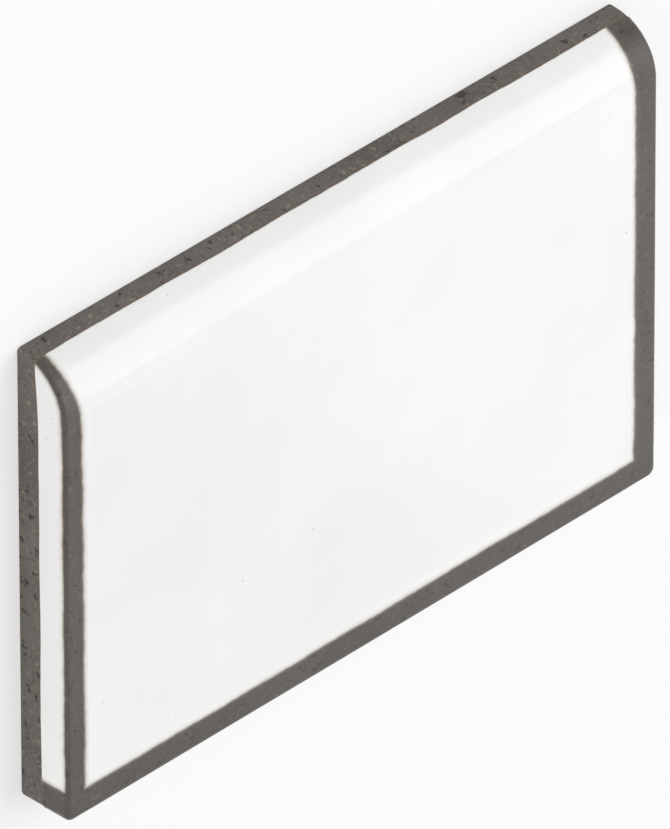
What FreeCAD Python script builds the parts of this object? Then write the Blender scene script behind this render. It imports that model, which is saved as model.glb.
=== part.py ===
"""Bullnose tile: one pressed and fired stoneware piece, lying face up.

X runs along the length, -Y points to the bullnose edge and +Z out of the glazed face.
The origin is the middle of the back, so the back stands on Z = 0.
"""

import FreeCAD, Part

import math
import os

from FreeCAD import Vector

# Driving dimensions, in millimetres and degrees
TILE_LENGTH = 152.4  # along X, from end to end
TILE_HEIGHT = 98.5  # along Y, from the square edge to the bullnose edge
TILE_THICKNESS = 12.0  # along Z, from the back to the face
BULLNOSE_LIP = 0.6  # square wall left under the round, where the press dies met
CORNER_RADIUS = 2.0  # plan radius of the two corners on the square edge
CUSHION_RADIUS = 1.2  # rounded arris around the face
BACK_ARRIS = 0.3  # chamfer around the back

# Keyed back: a grid of shallow recesses for the adhesive, inside a plain border
BORDER_WIDTH = 6.5
RIB_WIDTH = 3.0
RECESS_PITCH = 17.5  # aimed at; the recesses then share the space evenly
RECESS_DEPTH = 0.8
RECESS_CORNER = 1.8  # plan radius of a recess, at its mouth
RECESS_DRAFT = 30.0  # lean of a recess's walls from the vertical

# Worked out from the driving dimensions
HALF_LENGTH = TILE_LENGTH / 2
HALF_HEIGHT = TILE_HEIGHT / 2
BULLNOSE_RADIUS = TILE_THICKNESS - BULLNOSE_LIP
ROUND_START = BULLNOSE_RADIUS - HALF_HEIGHT  # Y at which the flat face turns into the round
TOLERANCE = 1e-4


def middle_of(edge):
    """The point half way along an edge."""
    return edge.valueAt((edge.FirstParameter + edge.LastParameter) / 2)


def is_upright(edge):
    """True for a straight edge along Z."""
    box = edge.BoundBox
    return box.XLength < TOLERANCE and box.YLength < TOLERANCE


def pressed_slab():
    """The tile's section, a slab with one long edge rounded over, drawn out along its length."""
    across_45 = BULLNOSE_RADIUS * math.sqrt(0.5)
    back_square = Vector(-HALF_LENGTH, HALF_HEIGHT, 0)
    back_nose = Vector(-HALF_LENGTH, -HALF_HEIGHT, 0)
    lip_top = Vector(-HALF_LENGTH, -HALF_HEIGHT, BULLNOSE_LIP)
    round_middle = Vector(-HALF_LENGTH, ROUND_START - across_45, BULLNOSE_LIP + across_45)
    face_nose = Vector(-HALF_LENGTH, ROUND_START, TILE_THICKNESS)
    face_square = Vector(-HALF_LENGTH, HALF_HEIGHT, TILE_THICKNESS)
    section = Part.Wire(
        [
            Part.LineSegment(back_square, back_nose).toShape(),
            Part.LineSegment(back_nose, lip_top).toShape(),
            Part.Arc(lip_top, round_middle, face_nose).toShape(),
            Part.LineSegment(face_nose, face_square).toShape(),
            Part.LineSegment(face_square, back_square).toShape(),
        ]
    )
    return Part.Face(section).extrude(Vector(TILE_LENGTH, 0, 0))


def soften_corners(tile):
    """Rounds the two upright corners of the square edge."""
    corners = [e for e in tile.Edges if is_upright(e) and middle_of(e).y > HALF_HEIGHT - TOLERANCE]
    return tile.makeFillet(CORNER_RADIUS, corners)


def soften_face(tile):
    """Rounds the arris around the face: over both ends' profiles and along the square edge."""

    def on_face_arris(edge):
        point = middle_of(edge)
        on_end = abs(point.x) > HALF_LENGTH - TOLERANCE and point.z > BULLNOSE_LIP / 2
        on_square_edge = point.z > TILE_THICKNESS - TOLERANCE and point.y > HALF_HEIGHT - CORNER_RADIUS
        return (on_end or on_square_edge) and not is_upright(edge)

    return tile.makeFillet(CUSHION_RADIUS, [e for e in tile.Edges if on_face_arris(e)])


def soften_back(tile):
    """Chamfers the arris that runs round the back."""
    return tile.makeChamfer(BACK_ARRIS, [e for e in tile.Edges if e.BoundBox.ZMax < TOLERANCE])


def rounded_rectangle(centre, width, height, radius, level):
    """A closed wire of four sides and four corner arcs, in the plane Z = level."""
    sides, corners = [], []
    arc_mid = radius * (1 - math.sqrt(0.5))
    for turn in range(4):
        # each corner is drawn as the one at +X +Y, then turned into its quarter
        w, h = (width / 2, height / 2) if turn % 2 == 0 else (height / 2, width / 2)
        start = Vector(w, h - radius, level)
        through = Vector(w - arc_mid, h - arc_mid, level)
        end = Vector(w - radius, h, level)
        side_end = Vector(radius - w, h, level)
        quarter = FreeCAD.Placement(centre, FreeCAD.Rotation(Vector(0, 0, 1), 90 * turn))
        start, through, end, side_end = (quarter.multVec(p) for p in (start, through, end, side_end))
        corners.append(Part.Arc(start, through, end).toShape())
        sides.append(Part.LineSegment(end, side_end).toShape())
    return Part.Wire([edge for pair in zip(corners, sides) for edge in pair])


def recess_run(overall):
    """Centres and width of the recesses along one side of the back."""
    span = overall - 2 * BORDER_WIDTH
    count = max(1, round((span + RIB_WIDTH) / RECESS_PITCH))
    width = (span - (count - 1) * RIB_WIDTH) / count
    first = (width - span) / 2
    return [first + i * (width + RIB_WIDTH) for i in range(count)], width


def key_back(tile):
    """Sinks the grid of drafted recesses into the back."""
    columns, width = recess_run(TILE_LENGTH)
    rows, height = recess_run(TILE_HEIGHT)
    lean = RECESS_DEPTH * math.tan(math.radians(RECESS_DRAFT))
    recesses = []
    for x in columns:
        for y in rows:
            centre = Vector(x, y, 0)
            mouth = rounded_rectangle(centre, width, height, RECESS_CORNER, 0)
            floor = rounded_rectangle(
                centre, width - 2 * lean, height - 2 * lean, RECESS_CORNER - lean, RECESS_DEPTH
            )
            recesses.append(Part.makeLoft([mouth, floor], True, True))
    print(f"keyed back: {len(columns)} x {len(rows)} recesses of {width:.2f} x {height:.2f} mm")
    return tile.cut(Part.makeCompound(recesses))


def main():
    tile = key_back(soften_back(soften_face(soften_corners(pressed_slab()))))
    solid = tile.Solids[0]
    print(f"bullnose_tile: {len(tile.Solids)} solid, valid {solid.isValid()}, {solid.Volume / 1000:.2f} cm3")
    os.makedirs("parts", exist_ok=True)
    solid.exportStep("parts/bullnose_tile.step")


main()
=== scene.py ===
import math

import bmesh
import bpy
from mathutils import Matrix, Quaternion, Vector, noise


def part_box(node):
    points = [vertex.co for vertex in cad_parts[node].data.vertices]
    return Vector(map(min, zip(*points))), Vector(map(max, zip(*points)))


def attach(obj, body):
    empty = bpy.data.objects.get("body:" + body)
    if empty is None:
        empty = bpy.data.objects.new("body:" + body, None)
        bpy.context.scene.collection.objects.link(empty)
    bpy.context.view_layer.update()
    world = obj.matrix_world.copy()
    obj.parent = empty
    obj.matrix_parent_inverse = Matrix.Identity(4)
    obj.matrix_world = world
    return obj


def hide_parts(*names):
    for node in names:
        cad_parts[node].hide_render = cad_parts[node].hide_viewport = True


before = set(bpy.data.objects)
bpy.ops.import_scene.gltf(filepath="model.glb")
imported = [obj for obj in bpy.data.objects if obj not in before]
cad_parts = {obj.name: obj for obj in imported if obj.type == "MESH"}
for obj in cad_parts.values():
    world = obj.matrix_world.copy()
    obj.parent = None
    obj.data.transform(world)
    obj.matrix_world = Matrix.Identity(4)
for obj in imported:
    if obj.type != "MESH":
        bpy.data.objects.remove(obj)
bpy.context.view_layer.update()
mm = 0.001  # the tile is modelled in millimetres and scaled to metres once it is done
white = "#FFFFFF"

# a Mix node has its own sockets for numbers and for colours
numberA, numberB = 2, 3
colourA, colourB, colourOut = 6, 7, 2


def hexColour(code):
    # sRGB hex to the linear colour that shaders take
    parts = [int(code[i:i + 2], 16) / 255 for i in (1, 3, 5)]
    return [p / 12.92 if p <= 0.04045 else ((p + 0.055) / 1.055) ** 2.4 for p in parts] + [1.0]


def addNode(tree, kind, settings=None, links=None):
    # settings are the node's own options or its sockets, links are the sockets fed by other nodes
    node = tree.nodes.new("ShaderNode" + kind)
    for name, value in (settings or {}).items():
        if name == "stops":
            for extra in value[2:]:
                node.color_ramp.elements.new(extra[0])
            for element, (position, code) in zip(node.color_ramp.elements, value):
                element.position = position
                element.color = hexColour(code)
        elif isinstance(name, str) and hasattr(node, name):
            setattr(node, name, value)
        else:
            node.inputs[name].default_value = value
    for name, socket in (links or {}).items():
        tree.links.new(socket, node.inputs[name])
    return node


def newMaterial(name):
    material = bpy.data.materials.new(name)
    material.use_nodes = True
    tree = material.node_tree
    tree.nodes.clear()
    return material, tree


# The tile, in millimetres

tile = {
    # pressed section
    "lip": 0.6,  # square wall under the round
    "roundSegments": 24,
    "corner": 2.0,  # plan radius of the square edge's corners
    "cornerSegments": 8,
    "cushion": 1.2,  # rounded arris around the face
    "cushionSegments": 6,
    "backArris": 0.3,
    "arrisSegments": 2,  # here and around a recess
    # keyed back
    "border": 6.5,  # plain land around the keying
    "strip": 0.5,  # its outermost part, which keeps the arris's shading off the rest
    "rib": 3.0,
    "recesses": (8, 5),
    "recessDepth": 0.8,
    "recessCorner": 1.8,
    "recessSegments": 5,
    "recessDraft": 30.0,  # degrees
    "recessArris": 0.15,
    # cuts that let the skin waver
    "meshStep": 1.2,  # between the even ones
    "edgeCuts": (1.5, 2.4, 3.2, 3.8, 8.4, 9.2),  # closer ones, in from each edge
    "breakCuts": (4.3, 7.9, 0.4),  # first, last and spacing of those where the glaze breaks
    "sideCuts": (1.4, 1.7, 2.1, 2.6, 3.4, 4.4, 5.3),  # down from the face
    "footCuts": (0.9, 1.8, 2.7, 3.4, 3.8, 6.1, 6.5),  # up from the back
    "footLineCuts": (4.1, 5.8, 0.1),  # first, last and spacing of those along the foot line
    "cutReach": 0.02,  # a cut takes in points this close to it
    "mergeReach": 0.06,  # and points left this close together become one
    # thickness of the glaze
    "coat": 0.25,  # where it lies full
    "thinCoat": 0.10,  # film left on an arris
    "wave": 0.03,  # slow unevenness of the fired face
    "waveLength": 34.0,
    "bead": 0.05,  # roll of glaze along the foot line and along the break
    "footRoll": (0.35, 0.4),  # middle and reach of the one, past the foot line
    "breakRoll": (1.3, 0.7),  # and of the other, past the break
    # where it has drawn back to a film
    "endBreaks": ((6.3, 6.1), (2.8, 4.6)),  # in from the -X and the +X end, each on the nose and behind it
    "squareBreak": 6.0,  # in from the square edge
    "sideBreak": 0.6,  # down from the face, where it has run and lies thick again
    "cornerBreak": 7.0,  # in from the upright corners
    "breakReach": (-1.4, 0.9),  # past the break, from where the film thickens to where the coat is full
    # foot wiped bare above the back
    "footHeights": (4.5, 5.4),  # on the nose and behind it
    "footWaver": ((0.2, 13.0), (0.08, 3.5)),  # most up or down, and length, of a slow waver and a quick one
    "footEdge": 0.2,  # above and below the line, over which the coat ends
    "levelReach": 0.6,  # below the line, over which the set-back turns level
    "noseReach": 16.0,  # from the nose, over which the breaks and the foot change
    # telling faces and edges apart
    "tolerance": 0.01,
    "leastLand": 20.0,  # mm2, more than any face of the strip has
    "areaTolerance": 0.5,  # mm2
    "mouthShare": 0.9,  # part of its square that a recess's mouth keeps, at the least, with round corners
    "arrisTurn": 60.0,  # degrees at an edge that is still to be rounded off
    "shadeTurn": 50.0,  # degrees at an edge that is shaded as sharp
    "flatDown": -0.99,  # a normal whose Z is below this is on the flat of the back
    "bareDown": -0.3,  # and a face whose normal is below this has the bare back's material
}


def blendStep(start, end, value):
    part = min(max((value - start) / (end - start), 0.0), 1.0)
    return part * part * (3 - 2 * part)


def mixed(pair, share):
    return pair[0] + (pair[1] - pair[0]) * share


def roundOff(bm, geom, radius, segments, affect="EDGES"):
    bmesh.ops.bevel(bm, geom=geom, offset=radius, offset_type="OFFSET", segments=segments,
                    profile=0.5, affect=affect, material=-1)


def pressBlock(bm, low, high):
    size = high - low
    near = tile["tolerance"]
    bmesh.ops.create_cube(bm, size=1.0)
    bmesh.ops.scale(bm, vec=size, verts=bm.verts)
    bmesh.ops.translate(bm, vec=(low + high) / 2, verts=bm.verts)

    def middle(edge):
        return (edge.verts[0].co + edge.verts[1].co) / 2

    def sharpEdges():
        return [e for e in bm.edges if e.calc_face_angle(0) > math.radians(tile["arrisTurn"])]

    nose = [e for e in bm.edges if middle(e).y < low.y + near and middle(e).z > high.z - near]
    roundOff(bm, nose, size.z - tile["lip"], tile["roundSegments"])
    upright = [e for e in sharpEdges() if abs(e.verts[0].co.z - e.verts[1].co.z) > size.z / 2]
    roundOff(bm, upright, tile["corner"], tile["cornerSegments"])
    aroundFace = [e for e in sharpEdges() if middle(e).z > low.z + near]
    roundOff(bm, aroundFace, tile["cushion"], tile["cushionSegments"])
    aroundBack = [e for e in sharpEdges() if middle(e).z < low.z + near]
    roundOff(bm, aroundBack, tile["backArris"], tile["arrisSegments"])


def flatOfBack(bm):
    return [f for f in bm.faces if f.normal.z < tile["flatDown"]]


def largestOfBack(bm):
    return max(flatOfBack(bm), key=lambda f: f.calc_area())


def sliceFaces(bm, faces, axis, place):
    normal = Vector((axis == 0, axis == 1, axis == 2))
    edges = {e for f in faces for e in f.edges}
    verts = {v for f in faces for v in f.verts}
    bmesh.ops.bisect_plane(bm, geom=[*verts, *edges, *faces], dist=tile["cutReach"],
                           plane_co=normal * place, plane_no=normal)


def spread(first, last, spacing):
    count = round((last - first) / spacing)
    return [first + (last - first) * i / count for i in range(count + 1)]


def cutsAcross(start, end):
    # close cuts that follow each edge, and even ones between them
    close = [*tile["edgeCuts"], *spread(*tile["breakCuts"])]
    margin = max(close) + tile["meshStep"]
    even = spread(start + margin, end - margin, tile["meshStep"])
    return even + [start + c for c in close] + [end - c for c in close]


def cutSkin(bm, low, high):
    up = [low.z + c for c in (*tile["footCuts"], *spread(*tile["footLineCuts"]))]
    down = [high.z - c for c in tile["sideCuts"]]
    cuts = (cutsAcross(low.x, high.x), cutsAcross(low.y, high.y), up + down)
    for axis, places in enumerate(cuts):
        for place in places:
            back = largestOfBack(bm)
            sliceFaces(bm, [f for f in bm.faces if f is not back], axis, place)
    bmesh.ops.remove_doubles(bm, verts=bm.verts, dist=tile["mergeReach"])


def keyBack(bm, low, high):
    bmesh.ops.inset_region(bm, faces=[largestOfBack(bm)], thickness=tile["strip"],
                           use_even_offset=True, use_boundary=True)
    rib, border = tile["rib"], tile["border"]
    cell = [(high[a] - low[a] - 2 * border + rib) / tile["recesses"][a] for a in (0, 1)]
    first = [low[a] + border - rib / 2 for a in (0, 1)]
    for axis in (0, 1):
        for i in range(tile["recesses"][axis] + 1):
            land = [f for f in flatOfBack(bm) if f.calc_area() > tile["leastLand"]]
            sliceFaces(bm, land, axis, first[axis] + i * cell[axis])

    cellArea = cell[0] * cell[1]
    squares = [f for f in flatOfBack(bm) if abs(f.calc_area() - cellArea) < tile["areaTolerance"]]
    bmesh.ops.inset_individual(bm, faces=squares, thickness=rib / 2, use_even_offset=True)
    corners = {v for f in squares for v in f.verts}
    roundOff(bm, list(corners), tile["recessCorner"], tile["recessSegments"], "VERTICES")

    squareArea = (cell[0] - rib) * (cell[1] - rib)
    mouths = [f for f in flatOfBack(bm) if tile["mouthShare"] * squareArea < f.calc_area() < squareArea]
    lean = tile["recessDepth"] * math.tan(math.radians(tile["recessDraft"]))
    walls = bmesh.ops.inset_individual(bm, faces=mouths, thickness=lean, depth=-tile["recessDepth"],
                                       use_even_offset=True)["faces"]
    level = low.z + tile["tolerance"]
    rims = {e for f in walls for e in f.edges if all(v.co.z < level for v in e.verts)}
    roundOff(bm, list(rims), tile["recessArris"], tile["arrisSegments"])
    return len(mouths)


def isBack(vert, low, high):
    # the flat of the back and its recesses, which stay as pressed
    place, normal = vert.co, vert.normal
    inFromSides = min(place.x - low.x, high.x - place.x, place.y - low.y, high.y - place.y)
    return normal.z < tile["flatDown"] or (normal.z < 0 and inFromSides > tile["border"] / 2)


def behindNose(place, low):
    # 0 at the nose, 1 where the plain tile behind it starts
    return blendStep(0, tile["noseReach"], place.y - low.y)


def belowFace(place, low, high):
    # mm in from the face and from the round that it runs into
    radius = high.z - low.z - tile["lip"]
    axisY, axisZ = low.y + radius, low.z + tile["lip"]
    if place.y > axisY:
        return high.z - place.z
    if place.z < axisZ:
        return place.y - low.y
    return radius - math.hypot(place.y - axisY, place.z - axisZ)


def pastBreak(vert, low, high):
    # mm in from the line where the glaze breaks, which the face and the sides each have
    place, normal = vert.co, vert.normal
    toEnd = min(place.x - low.x, high.x - place.x)
    toSquare = high.y - place.y
    minusX, plusX = tile["endBreaks"]
    endBreak = mixed(plusX if place.x > 0 else minusX, behindNose(place, low))
    onFace = min(toEnd - endBreak, toSquare - tile["squareBreak"])
    fromFace = belowFace(place, low, high) - tile["sideBreak"]
    onSide = min(fromFace, max(toEnd, toSquare) - tile["cornerBreak"])
    facing = blendStep(0, 1, 1 - max(abs(normal.x), normal.y))  # 0 on the ends and the square edge
    return mixed((onSide, onFace), facing)


def aboveFoot(place, low):
    # mm up from the wiped line
    waver = sum(most * noise.noise(place / length) for most, length in tile["footWaver"])
    return place.z - low.z - mixed(tile["footHeights"], behindNose(place, low)) - waver


def coatAt(place, run, rise):
    def roll(past, middle, reach):
        return math.exp(-((past - middle) / reach) ** 2)

    coat = mixed((tile["thinCoat"], tile["coat"]), blendStep(*tile["breakReach"], run))
    coat += tile["bead"] * max(roll(rise, *tile["footRoll"]), roll(run, *tile["breakRoll"]))
    coat += tile["wave"] * noise.noise(place / tile["waveLength"])
    return coat * blendStep(-tile["footEdge"], tile["footEdge"], rise)


def layGlaze(bm, low, high):
    # moves the skin in where the glaze is thin or wiped off, and keeps how far each point is past those lines
    breakRun = bm.verts.layers.float.new("breakRun")
    footRise = bm.verts.layers.float.new("footRise")
    thickest = tile["coat"] + tile["bead"] + tile["wave"]
    bm.normal_update()
    # each point moves along its own and its neighbours' mean direction, so that close points keep apart
    outwards = [sum((e.other_vert(v).normal for e in v.link_edges), v.normal).normalized() for v in bm.verts]
    for vert, outward in zip(bm.verts, outwards):
        if isBack(vert, low, high):
            continue
        run = pastBreak(vert, low, high)
        rise = aboveFoot(vert.co, low)
        vert[breakRun] = run
        vert[footRise] = rise
        outward.z *= blendStep(-tile["levelReach"], 0, rise)  # the wiped foot is set back level
        outward.normalize()
        vert.co -= outward * (thickest - coatAt(vert.co, run, rise))


def buildTile():
    low, high = (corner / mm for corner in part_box("bullnose_tile"))
    bm = bmesh.new()
    pressBlock(bm, low, high)
    print("tile: section and arrises", len(bm.faces), "faces")
    cutSkin(bm, low, high)
    print("tile: skin cut to", len(bm.faces), "faces")
    print("tile: keyed back with", keyBack(bm, low, high), "recesses")
    bmesh.ops.recalc_face_normals(bm, faces=bm.faces)
    layGlaze(bm, low, high)
    for face in bm.faces:
        face.smooth = True
        face.material_index = 1 if face.normal.z < tile["bareDown"] else 0
    bmesh.ops.scale(bm, vec=(mm, mm, mm), verts=bm.verts)
    mesh = bpy.data.meshes.new("glazed_tile")
    bm.to_mesh(mesh)
    bm.free()
    mesh.set_sharp_from_angle(angle=math.radians(tile["shadeTurn"]))
    piece = bpy.data.objects.new("glazed_tile", mesh)
    bpy.context.scene.collection.objects.link(piece)
    print("tile: glazed mesh of", len(mesh.polygons), "faces")
    return piece


# Stoneware clay, pressed and fired: a dense grey-brown body, matt, with grog and iron grains

clay = {
    "body": "#6E6963",
    "dark": "#5A544E",
    "mottle": (0.75, 1.25),  # level of the patches and the grain together, from all dark to none
    "patchSize": 22.0,  # mm, and so are the sizes below
    "grainSize": 0.7,
    "grainDepth": 0.05,
    "grog": ("#857D73", 1.0),  # colour and size
    "iron": ("#3B332D", 1.6),
    "spotLevel": (0.62, 0.74),  # noise from which a spot of these starts, and is full
    "spotDistortion": 0.4,
    "dust": "#ABA59B",  # pale kiln wash rubbed onto the land of the back
    "dustSize": 4.0,
    "dustLevel": (0.48, 0.75),  # noise from which it starts, and is full
    "dustShare": 0.6,  # at its fullest
    "dustHeights": (0.12, 0.02),  # mm above the floor, where it ends and where it is full
    "roughness": 0.82,
    "ior": 1.5,
}


def millimetres(tree):
    # Object coordinates, counted in millimetres
    coords = addNode(tree, "TexCoord")
    scaled = addNode(tree, "Mapping", {"Scale": (1 / mm, 1 / mm, 1 / mm)},
                     {"Vector": coords.outputs["Object"]})
    return scaled.outputs[0]


def addClay(tree, place):
    # colour and height of the bare body, for every material that shows some of it
    patch = addNode(tree, "TexNoise", {"Scale": 1 / clay["patchSize"], "Detail": 2.0}, {"Vector": place})
    grain = addNode(tree, "TexNoise", {"Scale": 1 / clay["grainSize"], "Detail": 4.0}, {"Vector": place})
    blotch = addNode(tree, "Math", {"operation": "ADD"}, {0: patch.outputs["Fac"], 1: grain.outputs["Fac"]})
    start, end = clay["mottle"]
    mottle = addNode(tree, "MapRange", {"From Min": start, "From Max": end}, {"Value": blotch.outputs[0]})
    tones = {colourA: hexColour(clay["dark"]), colourB: hexColour(clay["body"])}
    colour = addNode(tree, "Mix", {"data_type": "RGBA", **tones}, {0: mottle.outputs[0]}).outputs[colourOut]

    start, end = clay["spotLevel"]
    for code, size in (clay["grog"], clay["iron"]):
        shape = {"Scale": 1 / size, "Detail": 1.0, "Distortion": clay["spotDistortion"]}
        spots = addNode(tree, "TexNoise", shape, {"Vector": place})
        spot = addNode(tree, "MapRange", {"From Min": start, "From Max": end},
                       {"Value": spots.outputs["Fac"]})
        colour = addNode(tree, "Mix", {"data_type": "RGBA", colourB: hexColour(code)},
                         {0: spot.outputs[0], colourA: colour}).outputs[colourOut]
    return colour, grain.outputs["Fac"]


def addDust(tree, place, colour):
    # only the land is rubbed, not the recesses
    height = addNode(tree, "SeparateXYZ", links={0: place})
    start, end = clay["dustHeights"]
    land = addNode(tree, "MapRange", {"From Min": start, "From Max": end}, {"Value": height.outputs["Z"]})
    rubbed = addNode(tree, "TexNoise", {"Scale": 1 / clay["dustSize"], "Detail": 5.0}, {"Vector": place})
    start, end = clay["dustLevel"]
    dusty = addNode(tree, "MapRange", {"From Min": start, "From Max": end, "To Max": clay["dustShare"]},
                    {"Value": rubbed.outputs["Fac"]})
    dust = addNode(tree, "Math", {"operation": "MULTIPLY"}, {0: land.outputs[0], 1: dusty.outputs[0]})
    return addNode(tree, "Mix", {"data_type": "RGBA", colourB: hexColour(clay["dust"])},
                   {0: dust.outputs[0], colourA: colour}).outputs[colourOut]


def bareStoneware():
    material, tree = newMaterial("bare_stoneware")
    place = millimetres(tree)
    colour, height = addClay(tree, place)
    bump = addNode(tree, "Bump", {"Strength": 1.0, "Distance": clay["grainDepth"] * mm}, {"Height": height})
    body = addNode(tree, "BsdfPrincipled", {"Roughness": clay["roughness"], "IOR": clay["ior"]},
                   {"Base Color": addDust(tree, place, colour), "Normal": bump.outputs[0]})
    addNode(tree, "OutputMaterial", links={"Surface": body.outputs[0]})
    print("material: bare stoneware with", len(tree.nodes), "nodes")
    return material


# Opaque white glaze, poured and fired to a gloss: it breaks to a thin film that shows the clay along
# every arris, and stops short of the back at a wiped foot line

glaze = {
    # colour against the mm past the break: clay through the film, then thickening white
    "breaking": ((-2.4, "#302A23"), (-0.6, "#352E26"), (-0.2, "#665D52"),
                 (0.1, "#B3ABA0"), (0.5, "#E2E0DC"), (1.2, "#F3F3F2")),
    "filmReach": (-0.7, 0.5),  # mm past the break, from where the film thickens to where the coat is full
    "filmClay": 0.4,  # how much of the clay's own grain shows through the film
    "breakWander": (0.42, 12.0),  # mm that the break wanders, and mm from one wander to the next
    "breakFray": (0.22, 1.8),
    "wanderLevel": (0.25, 0.75),  # noise at which it wanders most, one way and the other
    "cloud": "#FAFAFA",  # tint of the slightly thinner patches
    "cloudSize": 26.0,
    "cloudLevel": (0.35, 0.75),
    "speck": "#9C9082",  # iron that has bled up through the coat
    "speckShare": 0.7,  # how much of its colour shows
    "speckSize": 0.5,  # mm across the largest
    "speckSpacing": 4.5,
    "speckless": 0.3,  # share of the places that have none
    "footFray": (0.3, 0.8),  # mm that the foot line wanders, and mm from one wander to the next
    "footSoftness": 0.06,  # mm above and below the line, over which the coat's colour ends
    "flash": "#75604F",  # toasted clay just under the glaze
    "flashReach": 0.8,
    "flashShare": 0.55,
    "roughness": 0.12,
    "filmRoughness": 0.36,  # the thin film fires drier than the full coat
    "ior": 1.5,
    "peelSize": 6.0,
    "peelDepth": 0.006,
}


def breakLine(tree, place):
    # mm past the break, with the wander that is too fine for the mesh
    past = addNode(tree, "Attribute", {"attribute_name": "breakRun"}).outputs["Fac"]
    start, end = glaze["wanderLevel"]
    for amount, size in (glaze["breakWander"], glaze["breakFray"]):
        ripple = addNode(tree, "TexNoise", {"Scale": 1 / size, "Detail": 2.0}, {"Vector": place})
        span = {"From Min": start, "From Max": end, "To Min": -amount / 2, "To Max": amount / 2}
        shift = addNode(tree, "MapRange", span, {"Value": ripple.outputs["Fac"]})
        past = addNode(tree, "Math", {"operation": "ADD"}, {0: past, 1: shift.outputs[0]}).outputs[0]
    return past


def breakColour(tree, past, film, clayColour):
    first, last = glaze["breaking"][0][0], glaze["breaking"][-1][0]
    share = addNode(tree, "MapRange", {"From Min": first, "From Max": last}, {"Value": past})
    stops = [((reach - first) / (last - first), code) for reach, code in glaze["breaking"]]
    breaking = addNode(tree, "ValToRGB", {"stops": stops}, {"Fac": share.outputs[0]})
    through = addNode(tree, "Math", {"operation": "MULTIPLY", 1: glaze["filmClay"]}, {0: film})
    sources = {0: through.outputs[0], colourA: breaking.outputs[0], colourB: clayColour}
    return addNode(tree, "Mix", {"data_type": "RGBA"}, sources).outputs[colourOut]


def addClouds(tree, place, colour):
    cloud = addNode(tree, "TexNoise", {"Scale": 1 / glaze["cloudSize"], "Detail": 2.0}, {"Vector": place})
    start, end = glaze["cloudLevel"]
    clouded = addNode(tree, "MapRange", {"From Min": start, "From Max": end}, {"Value": cloud.outputs["Fac"]})
    tints = {colourA: hexColour(white), colourB: hexColour(glaze["cloud"])}
    tint = addNode(tree, "Mix", {"data_type": "RGBA", **tints}, {0: clouded.outputs[0]})
    return addNode(tree, "Mix", {"data_type": "RGBA", "blend_type": "MULTIPLY", 0: 1.0},
                   {colourA: colour, colourB: tint.outputs[colourOut]}).outputs[colourOut]


def addSpecks(tree, place, colour):
    largest = glaze["speckSize"] / glaze["speckSpacing"] / 2
    cells = addNode(tree, "TexVoronoi", {"Scale": 1 / glaze["speckSpacing"]}, {"Vector": place})
    chance = addNode(tree, "SeparateColor", links={0: cells.outputs["Color"]})
    reach = addNode(tree, "MapRange", {"From Min": glaze["speckless"], "To Max": largest},
                    {"Value": chance.outputs[0]})
    depth = addNode(tree, "Math", {"operation": "SUBTRACT"},
                    {0: reach.outputs[0], 1: cells.outputs["Distance"]})
    speck = addNode(tree, "MapRange", {"From Max": largest / 2, "To Max": glaze["speckShare"]},
                    {"Value": depth.outputs[0]})
    return addNode(tree, "Mix", {"data_type": "RGBA", colourB: hexColour(glaze["speck"])},
                   {0: speck.outputs[0], colourA: colour}).outputs[colourOut]


def footLine(tree, place):
    # mm above the wiped line, with its fray
    amount, size = glaze["footFray"]
    fray = addNode(tree, "TexNoise", {"Scale": 1 / size, "Detail": 2.0}, {"Vector": place})
    shift = addNode(tree, "MapRange", {"To Min": -amount / 2, "To Max": amount / 2},
                    {"Value": fray.outputs["Fac"]})
    rise = addNode(tree, "Attribute", {"attribute_name": "footRise"})
    return addNode(tree, "Math", {"operation": "ADD"},
                   {0: rise.outputs["Fac"], 1: shift.outputs[0]}).outputs[0]


def footColour(tree, above, clayColour):
    span = {"From Min": -glaze["flashReach"], "From Max": 0.0, "To Max": glaze["flashShare"]}
    toast = addNode(tree, "MapRange", span, {"Value": above})
    return addNode(tree, "Mix", {"data_type": "RGBA", colourB: hexColour(glaze["flash"])},
                   {0: toast.outputs[0], colourA: clayColour}).outputs[colourOut]


def coatBump(tree, place, glazed, clayHeight):
    # a faint orange peel on the glaze, and the clay's grain where it is bare
    peel = addNode(tree, "TexNoise", {"Scale": 1 / glaze["peelSize"], "Detail": 1.0}, {"Vector": place})
    skin = addNode(tree, "Bump", {"Strength": 1.0, "Distance": glaze["peelDepth"] * mm},
                   {"Height": peel.outputs["Fac"]})
    bare = addNode(tree, "Math", {"operation": "SUBTRACT", 0: 1.0}, {1: glazed})
    grit = addNode(tree, "Math", {"operation": "MULTIPLY"}, {0: clayHeight, 1: bare.outputs[0]})
    return addNode(tree, "Bump", {"Strength": 1.0, "Distance": clay["grainDepth"] * mm},
                   {"Height": grit.outputs[0], "Normal": skin.outputs[0]}).outputs[0]


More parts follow.
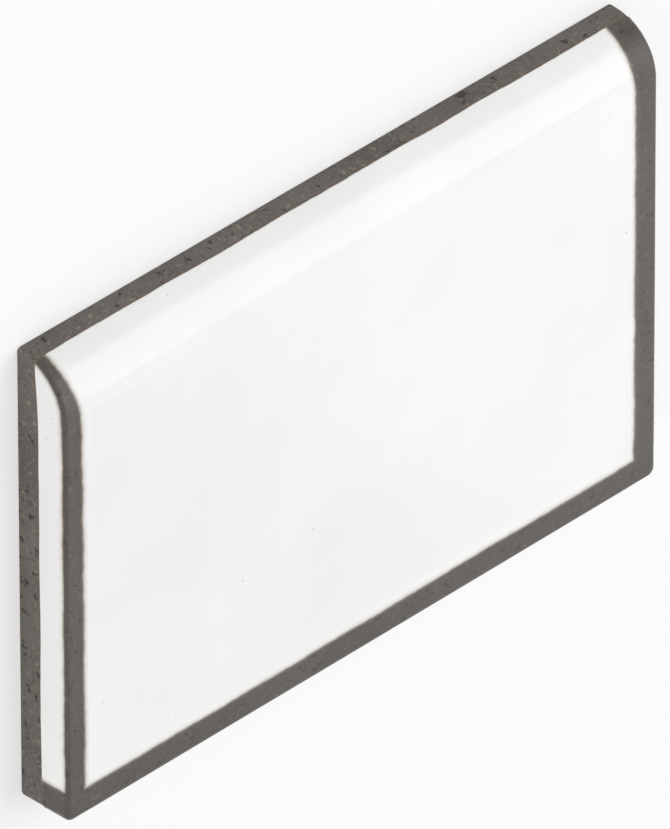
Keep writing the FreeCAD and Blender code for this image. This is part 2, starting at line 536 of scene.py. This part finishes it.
def whiteGlaze():
    material, tree = newMaterial("white_glaze")
    place = millimetres(tree)
    clayColour, clayHeight = addClay(tree, place)
    past = breakLine(tree, place)
    start, full = glaze["filmReach"]
    film = addNode(tree, "MapRange", {"From Min": full, "From Max": start}, {"Value": past}).outputs[0]
    coatColour = breakColour(tree, past, film, clayColour)
    coatColour = addClouds(tree, place, coatColour)
    coatColour = addSpecks(tree, place, coatColour)

    above = footLine(tree, place)
    soft = glaze["footSoftness"]
    glazed = addNode(tree, "MapRange", {"From Min": -soft, "From Max": soft}, {"Value": above}).outputs[0]
    sources = {0: glazed, colourA: footColour(tree, above, clayColour), colourB: coatColour}
    colour = addNode(tree, "Mix", {"data_type": "RGBA"}, sources)
    coatGloss = addNode(tree, "MapRange", {"To Min": glaze["roughness"], "To Max": glaze["filmRoughness"]},
                        {"Value": film})
    gloss = addNode(tree, "MapRange", {"To Min": clay["roughness"]},
                    {"Value": glazed, "To Max": coatGloss.outputs[0]})
    coat = addNode(tree, "BsdfPrincipled", {"IOR": glaze["ior"]},
                   {"Base Color": colour.outputs[colourOut], "Roughness": gloss.outputs[0],
                    "Normal": coatBump(tree, place, glazed, clayHeight)})
    addNode(tree, "OutputMaterial", links={"Surface": coat.outputs[0]})
    print("material: white glaze with", len(tree.nodes), "nodes")
    return material


glazedTile = buildTile()
glazedTile.data.materials.append(whiteGlaze())
glazedTile.data.materials.append(bareStoneware())
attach(glazedTile, "root")
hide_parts("bullnose_tile")

# Floor, lamps and surroundings

studio = {
    "floorColour": "#F2F2F0",
    "floorSeen": "#F7F7F7",  # the same paper as the camera and reflections see it
    "floorGlow": 0.5,  # share of plain white in that
    "floorRadius": 6.0,  # metres
    "floorSegments": 64,
    "horizon": 0.74,  # strength of the white surroundings low down and overhead
    "overhead": 0.63,
    "overheadFrom": 0.4,  # Z of a direction from which it counts as overhead
    "backdrop": 0.94,  # strength that the camera and reflections see
    # direction from the tile, distance and size in metres, watts
    "lamps": {
        "key": ((-0.52, -0.25, 0.82), 1.15, (1.0, 1.0), 5.1),
        "sheen": ((-0.521, 0.323, 0.547), 0.82, (0.30, 0.66), 0.36),
        "fill": ((0.95, 0.1, 0.45), 1.3, (2.0, 1.0), 5.0),
    },
    "unmirrored": ("fill",),  # lifts the near end without a glare on the face
}


def seenDirectly(tree):
    # 1 for what the camera sees straight on, in a reflection or through glass
    rays = addNode(tree, "LightPath")
    indirect = addNode(tree, "Math", {"operation": "MAXIMUM"},
                       {0: rays.outputs["Is Glossy Ray"], 1: rays.outputs["Is Transmission Ray"]})
    return addNode(tree, "Math", {"operation": "MAXIMUM"},
                   {0: rays.outputs["Is Camera Ray"], 1: indirect.outputs[0]}).outputs[0]


def studioPaper():
    # matt paper, which the camera sees nearly white, with the tile's shadow on it
    material, tree = newMaterial("matt_studio_paper")
    seen = seenDirectly(tree)
    tones = {colourA: hexColour(studio["floorColour"]), colourB: hexColour(studio["floorSeen"])}
    colour = addNode(tree, "Mix", {"data_type": "RGBA", **tones}, {0: seen})
    paper = addNode(tree, "BsdfDiffuse", links={"Color": colour.outputs[colourOut]})
    glow = addNode(tree, "Emission", {"Color": hexColour(white), "Strength": 1.0})
    share = addNode(tree, "Math", {"operation": "MULTIPLY", 1: studio["floorGlow"]}, {0: seen})
    both = addNode(tree, "MixShader", links={0: share.outputs[0], 1: paper.outputs[0], 2: glow.outputs[0]})
    addNode(tree, "OutputMaterial", links={"Surface": both.outputs[0]})
    return material


def buildFloor():
    bm = bmesh.new()
    bmesh.ops.create_circle(bm, cap_ends=True, segments=studio["floorSegments"], radius=studio["floorRadius"])
    mesh = bpy.data.meshes.new("studio_floor")
    bm.to_mesh(mesh)
    bm.free()
    mesh.materials.append(studioPaper())
    floor = bpy.data.objects.new("studio_floor", mesh)
    bpy.context.scene.collection.objects.link(floor)


def addLamps():
    for name, (direction, distance, size, watts) in studio["lamps"].items():
        lamp = bpy.data.lights.new(name, "AREA")
        lamp.shape = "RECTANGLE"
        lamp.size, lamp.size_y = size
        lamp.energy = watts
        holder = bpy.data.objects.new(name, lamp)
        holder.location = Vector(direction).normalized() * distance
        holder.rotation_euler = Vector(direction).to_track_quat("Z", "Y").to_euler()
        holder.visible_camera = False
        holder.visible_glossy = name not in studio["unmirrored"]
        bpy.context.scene.collection.objects.link(holder)


def addSurroundings():
    world = bpy.data.worlds.new("studio")
    world.use_nodes = True
    tree = world.node_tree
    tree.nodes.clear()
    direction = addNode(tree, "TexCoord")
    height = addNode(tree, "SeparateXYZ", links={0: direction.outputs["Generated"]})
    strength = addNode(tree, "MapRange",
                       {"interpolation_type": "SMOOTHSTEP", "From Max": studio["overheadFrom"],
                        "To Min": studio["horizon"], "To Max": studio["overhead"]},
                       {"Value": height.outputs["Z"]})
    shown = addNode(tree, "Mix", {"data_type": "FLOAT", numberB: studio["backdrop"]},
                    {0: seenDirectly(tree), numberA: strength.outputs[0]})
    sky = addNode(tree, "Background", {"Color": hexColour(white)}, {"Strength": shown.outputs[0]})
    addNode(tree, "OutputWorld", links={"Surface": sky.outputs[0]})
    bpy.context.scene.world = world


# Camera

view = {
    "azimuth": 45.67,  # degrees, round from the -Y side towards +X
    "elevation": 34.93,
    "roll": 119.11,  # turns the picture so that the bullnose is at its top
    "lens": 1150.0,  # long enough to keep parallel edges parallel
    "distance": 4748.0,  # mm
    "aim": (3.22, -2.88),  # mm from the middle of the back, to the right and up in the picture
    "clipEnd": 100.0,  # metres
}


def addCamera():
    azimuth, elevation = math.radians(view["azimuth"]), math.radians(view["elevation"])
    flat = math.cos(elevation)
    back = Vector((math.sin(azimuth) * flat, -math.cos(azimuth) * flat, math.sin(elevation)))
    turn = (-back).to_track_quat("-Z", "Y") @ Quaternion((0, 0, 1), math.radians(view["roll"]))
    right, up = turn @ Vector((1, 0, 0)), turn @ Vector((0, 1, 0))
    data = bpy.data.cameras.new("camera")
    data.lens = view["lens"]
    data.clip_end = view["clipEnd"]
    camera = bpy.data.objects.new("camera", data)
    camera.location = (right * view["aim"][0] + up * view["aim"][1] + back * view["distance"]) * mm
    camera.rotation_euler = turn.to_euler()
    bpy.context.scene.collection.objects.link(camera)
    bpy.context.scene.camera = camera


buildFloor()
addLamps()
addSurroundings()
addCamera()
bpy.context.scene.view_settings.view_transform = "Standard"
print("studio: floor,", len(studio["lamps"]), "lamps, surroundings and camera")
